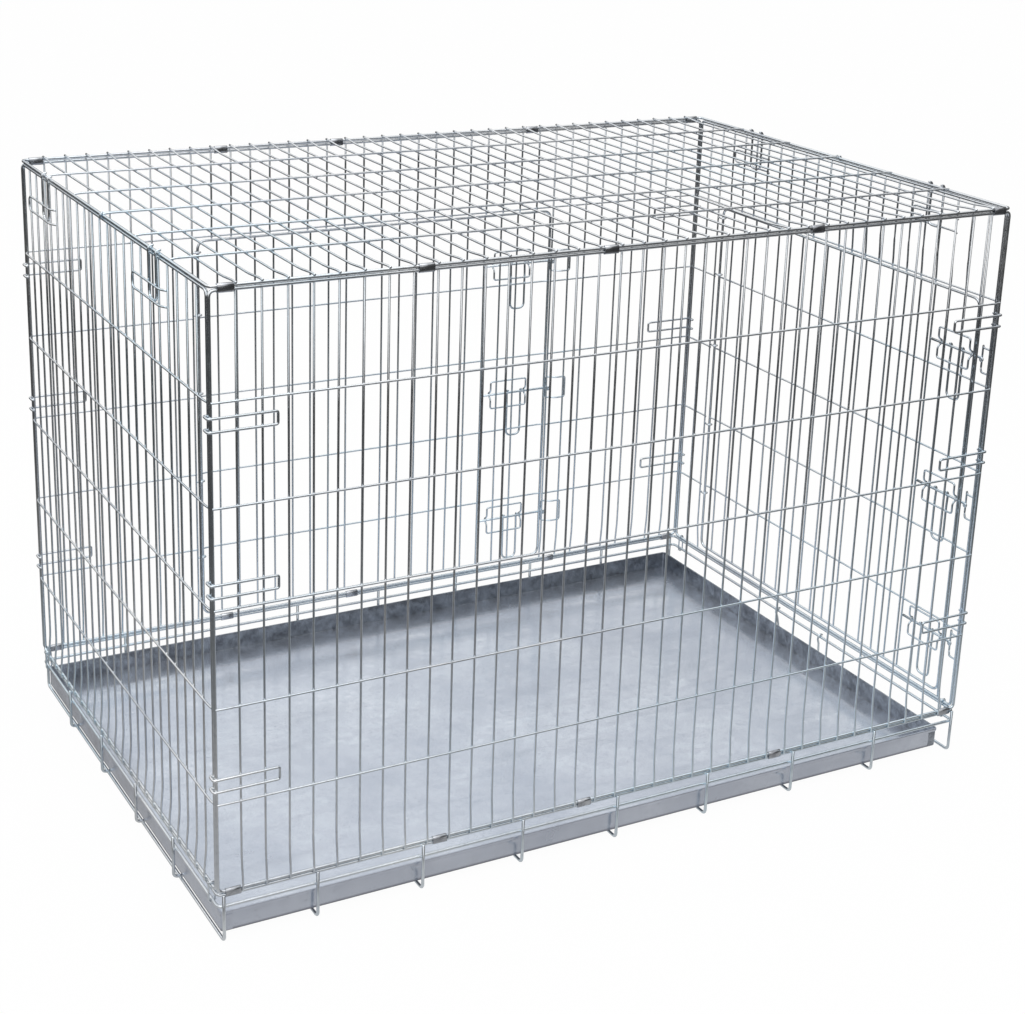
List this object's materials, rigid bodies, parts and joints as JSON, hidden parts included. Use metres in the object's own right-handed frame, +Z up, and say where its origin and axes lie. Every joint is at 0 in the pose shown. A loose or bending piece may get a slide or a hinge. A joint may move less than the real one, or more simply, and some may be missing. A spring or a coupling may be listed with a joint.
{
  "type": "dog crate",
  "caption": "Folding wire dog crate of galvanised steel with a slide-out sheet tray, a hinged side door, a hinged end door and sliding bolts.",
  "frame": {"origin": "centre of the crate's footprint on the floor", "axes": "+X along the length towards the end wall that has a door, +Y towards the long wall that has a door, +Z up"},
  "size_m": [1.2389, 0.8161, 0.8754],
  "materials": {
    "galvanised_wire": "bright galvanised drawn wire, semi-gloss",
    "galvanised_sheet": "galvanised sheet with soft spangle, satin",
    "zinc_plated_clip": "zinc-plated strip, smooth and brighter than the wire"
  },
  "bodies": {
    "frame": {"base_lower_rail": "galvanised_wire", "base_upper_rail": "galvanised_wire", "base_cross_wire_1": "galvanised_wire", "base_cross_wire_2": "galvanised_wire", "base_cross_wire_3": "galvanised_wire", "base_cross_wire_4": "galvanised_wire", "base_cross_wire_5": "galvanised_wire", "base_cross_wire_6": "galvanised_wire", "base_cross_wire_7": "galvanised_wire", "base_cross_wire_8": "galvanised_wire", "base_cross_wire_9": "galvanised_wire", "base_long_wire_1": "galvanised_wire", "base_long_wire_2": "galvanised_wire", "base_long_wire_3": "galvanised_wire", "base_long_wire_4": "galvanised_wire", "front_wall": "galvanised_wire", "back_wall": "galvanised_wire", "top_panel": "galvanised_wire", "wall_ring_left_front": "galvanised_wire", "wall_ring_left_rear": "galvanised_wire", "wall_ring_right_front": "galvanised_wire", "wall_ring_right_rear": "galvanised_wire", "clip_front_top_1": "zinc_plated_clip", "clip_front_top_2": "zinc_plated_clip", "clip_front_top_3": "zinc_plated_clip", "clip_front_top_4": "zinc_plated_clip", "clip_front_top_5": "zinc_plated_clip", "clip_front_bottom_1": "zinc_plated_clip", "clip_front_bottom_2": "zinc_plated_clip", "clip_front_bottom_3": "zinc_plated_clip", "clip_front_bottom_4": "zinc_plated_clip", "clip_front_bottom_5": "zinc_plated_clip", "clip_back_top_1": "zinc_plated_clip", "clip_back_top_2": "zinc_plated_clip", "clip_back_top_3": "zinc_plated_clip", "clip_back_top_4": "zinc_plated_clip", "clip_back_top_5": "zinc_plated_clip", "clip_back_bottom_1": "zinc_plated_clip", "clip_back_bottom_2": "zinc_plated_clip", "clip_back_bottom_3": "zinc_plated_clip", "clip_back_bottom_4": "zinc_plated_clip", "clip_back_bottom_5": "zinc_plated_clip"},
    "tray": {"tray": "galvanised_sheet"},
    "tray_stop": {"tray_stop": "galvanised_wire"},
    "left_end_wall": {"left_end_wall": "galvanised_wire"},
    "right_end_wall": {"right_end_wall": "galvanised_wire"},
    "back_door": {"back_door": "galvanised_wire"},
    "end_door": {"end_door": "galvanised_wire"},
    "back_door_bolt_1": {"back_door_bolt_1": "galvanised_wire"},
    "back_door_bolt_2": {"back_door_bolt_2": "galvanised_wire"},
    "back_door_bolt_3": {"back_door_bolt_3": "galvanised_wire"},
    "end_door_bolt_1": {"end_door_bolt_1": "galvanised_wire"},
    "end_door_bolt_2": {"end_door_bolt_2": "galvanised_wire"},
    "end_door_bolt_3": {"end_door_bolt_3": "galvanised_wire"},
    "top_hook_left_front": {"top_hook_left_front": "galvanised_wire"},
    "top_hook_left_rear": {"top_hook_left_rear": "galvanised_wire"},
    "top_hook_right_front": {"top_hook_right_front": "galvanised_wire"},
    "top_hook_right_rear": {"top_hook_right_rear": "galvanised_wire"}
  },
  "joints": [
    {"name": "tray_slide", "type": "slide", "parent": "frame", "child": "tray", "axis": [1, 0, 0], "range_m": [0, 1.2]},
    {"name": "tray_stop_swing", "type": "hinge", "parent": "frame", "child": "tray_stop", "pos_m": [0.60775, 0, 0.05005], "axis": [0, -1, 0], "range_deg": [0, 100]},
    {"name": "left_end_fold", "type": "hinge", "parent": "frame", "child": "left_end_wall", "pos_m": [-0.60775, 0, 0.07185], "axis": [0, -1, 0], "range_deg": [-90, 0]},
    {"name": "right_end_fold", "type": "hinge", "parent": "frame", "child": "right_end_wall", "pos_m": [0.60775, 0, 0.07185], "axis": [0, 1, 0], "range_deg": [-88, 0]},
    {"name": "back_door_hinge", "type": "hinge", "parent": "frame", "child": "back_door", "pos_m": [-0.33494, 0.4018, 0.07185], "axis": [0, 0, 1], "range_deg": [0, 135]},
    {"name": "end_door_hinge", "type": "hinge", "parent": "right_end_wall", "child": "end_door", "pos_m": [0.6118, 0.31329, 0.07185], "axis": [0, 0, 1], "range_deg": [0, 135]},
    {"name": "back_bolt_1_slide", "type": "slide", "parent": "back_door", "child": "back_door_bolt_1", "axis": [-1, 0, 0], "range_m": [0, 0.018]},
    {"name": "back_bolt_2_slide", "type": "slide", "parent": "back_door", "child": "back_door_bolt_2", "axis": [-1, 0, 0], "range_m": [0, 0.018]},
    {"name": "back_bolt_3_slide", "type": "slide", "parent": "back_door", "child": "back_door_bolt_3", "axis": [-1, 0, 0], "range_m": [0, 0.018]},
    {"name": "end_bolt_1_slide", "type": "slide", "parent": "end_door", "child": "end_door_bolt_1", "axis": [0, 1, 0], "range_m": [0, 0.018]},
    {"name": "end_bolt_2_slide", "type": "slide", "parent": "end_door", "child": "end_door_bolt_2", "axis": [0, 1, 0], "range_m": [0, 0.018]},
    {"name": "end_bolt_3_slide", "type": "slide", "parent": "end_door", "child": "end_door_bolt_3", "axis": [0, 1, 0], "range_m": [0, 0.018]},
    {"name": "top_hook_left_front_swing", "type": "hinge", "parent": "frame", "child": "top_hook_left_front", "pos_m": [-0.60775, -0.212, 0.86915], "axis": [0, 1, 0], "range_deg": [0, 90]},
    {"name": "top_hook_left_rear_swing", "type": "hinge", "parent": "frame", "child": "top_hook_left_rear", "pos_m": [-0.60775, 0.26, 0.86915], "axis": [0, 1, 0], "range_deg": [0, 90]},
    {"name": "top_hook_right_front_swing", "type": "hinge", "parent": "frame", "child": "top_hook_right_front", "pos_m": [0.60775, -0.236, 0.86915], "axis": [0, -1, 0], "range_deg": [0, 90]},
    {"name": "top_hook_right_rear_swing", "type": "hinge", "parent": "frame", "child": "top_hook_right_rear", "pos_m": [0.60775, 0.23, 0.86915], "axis": [0, -1, 0], "range_deg": [0, 90]}
  ]
}
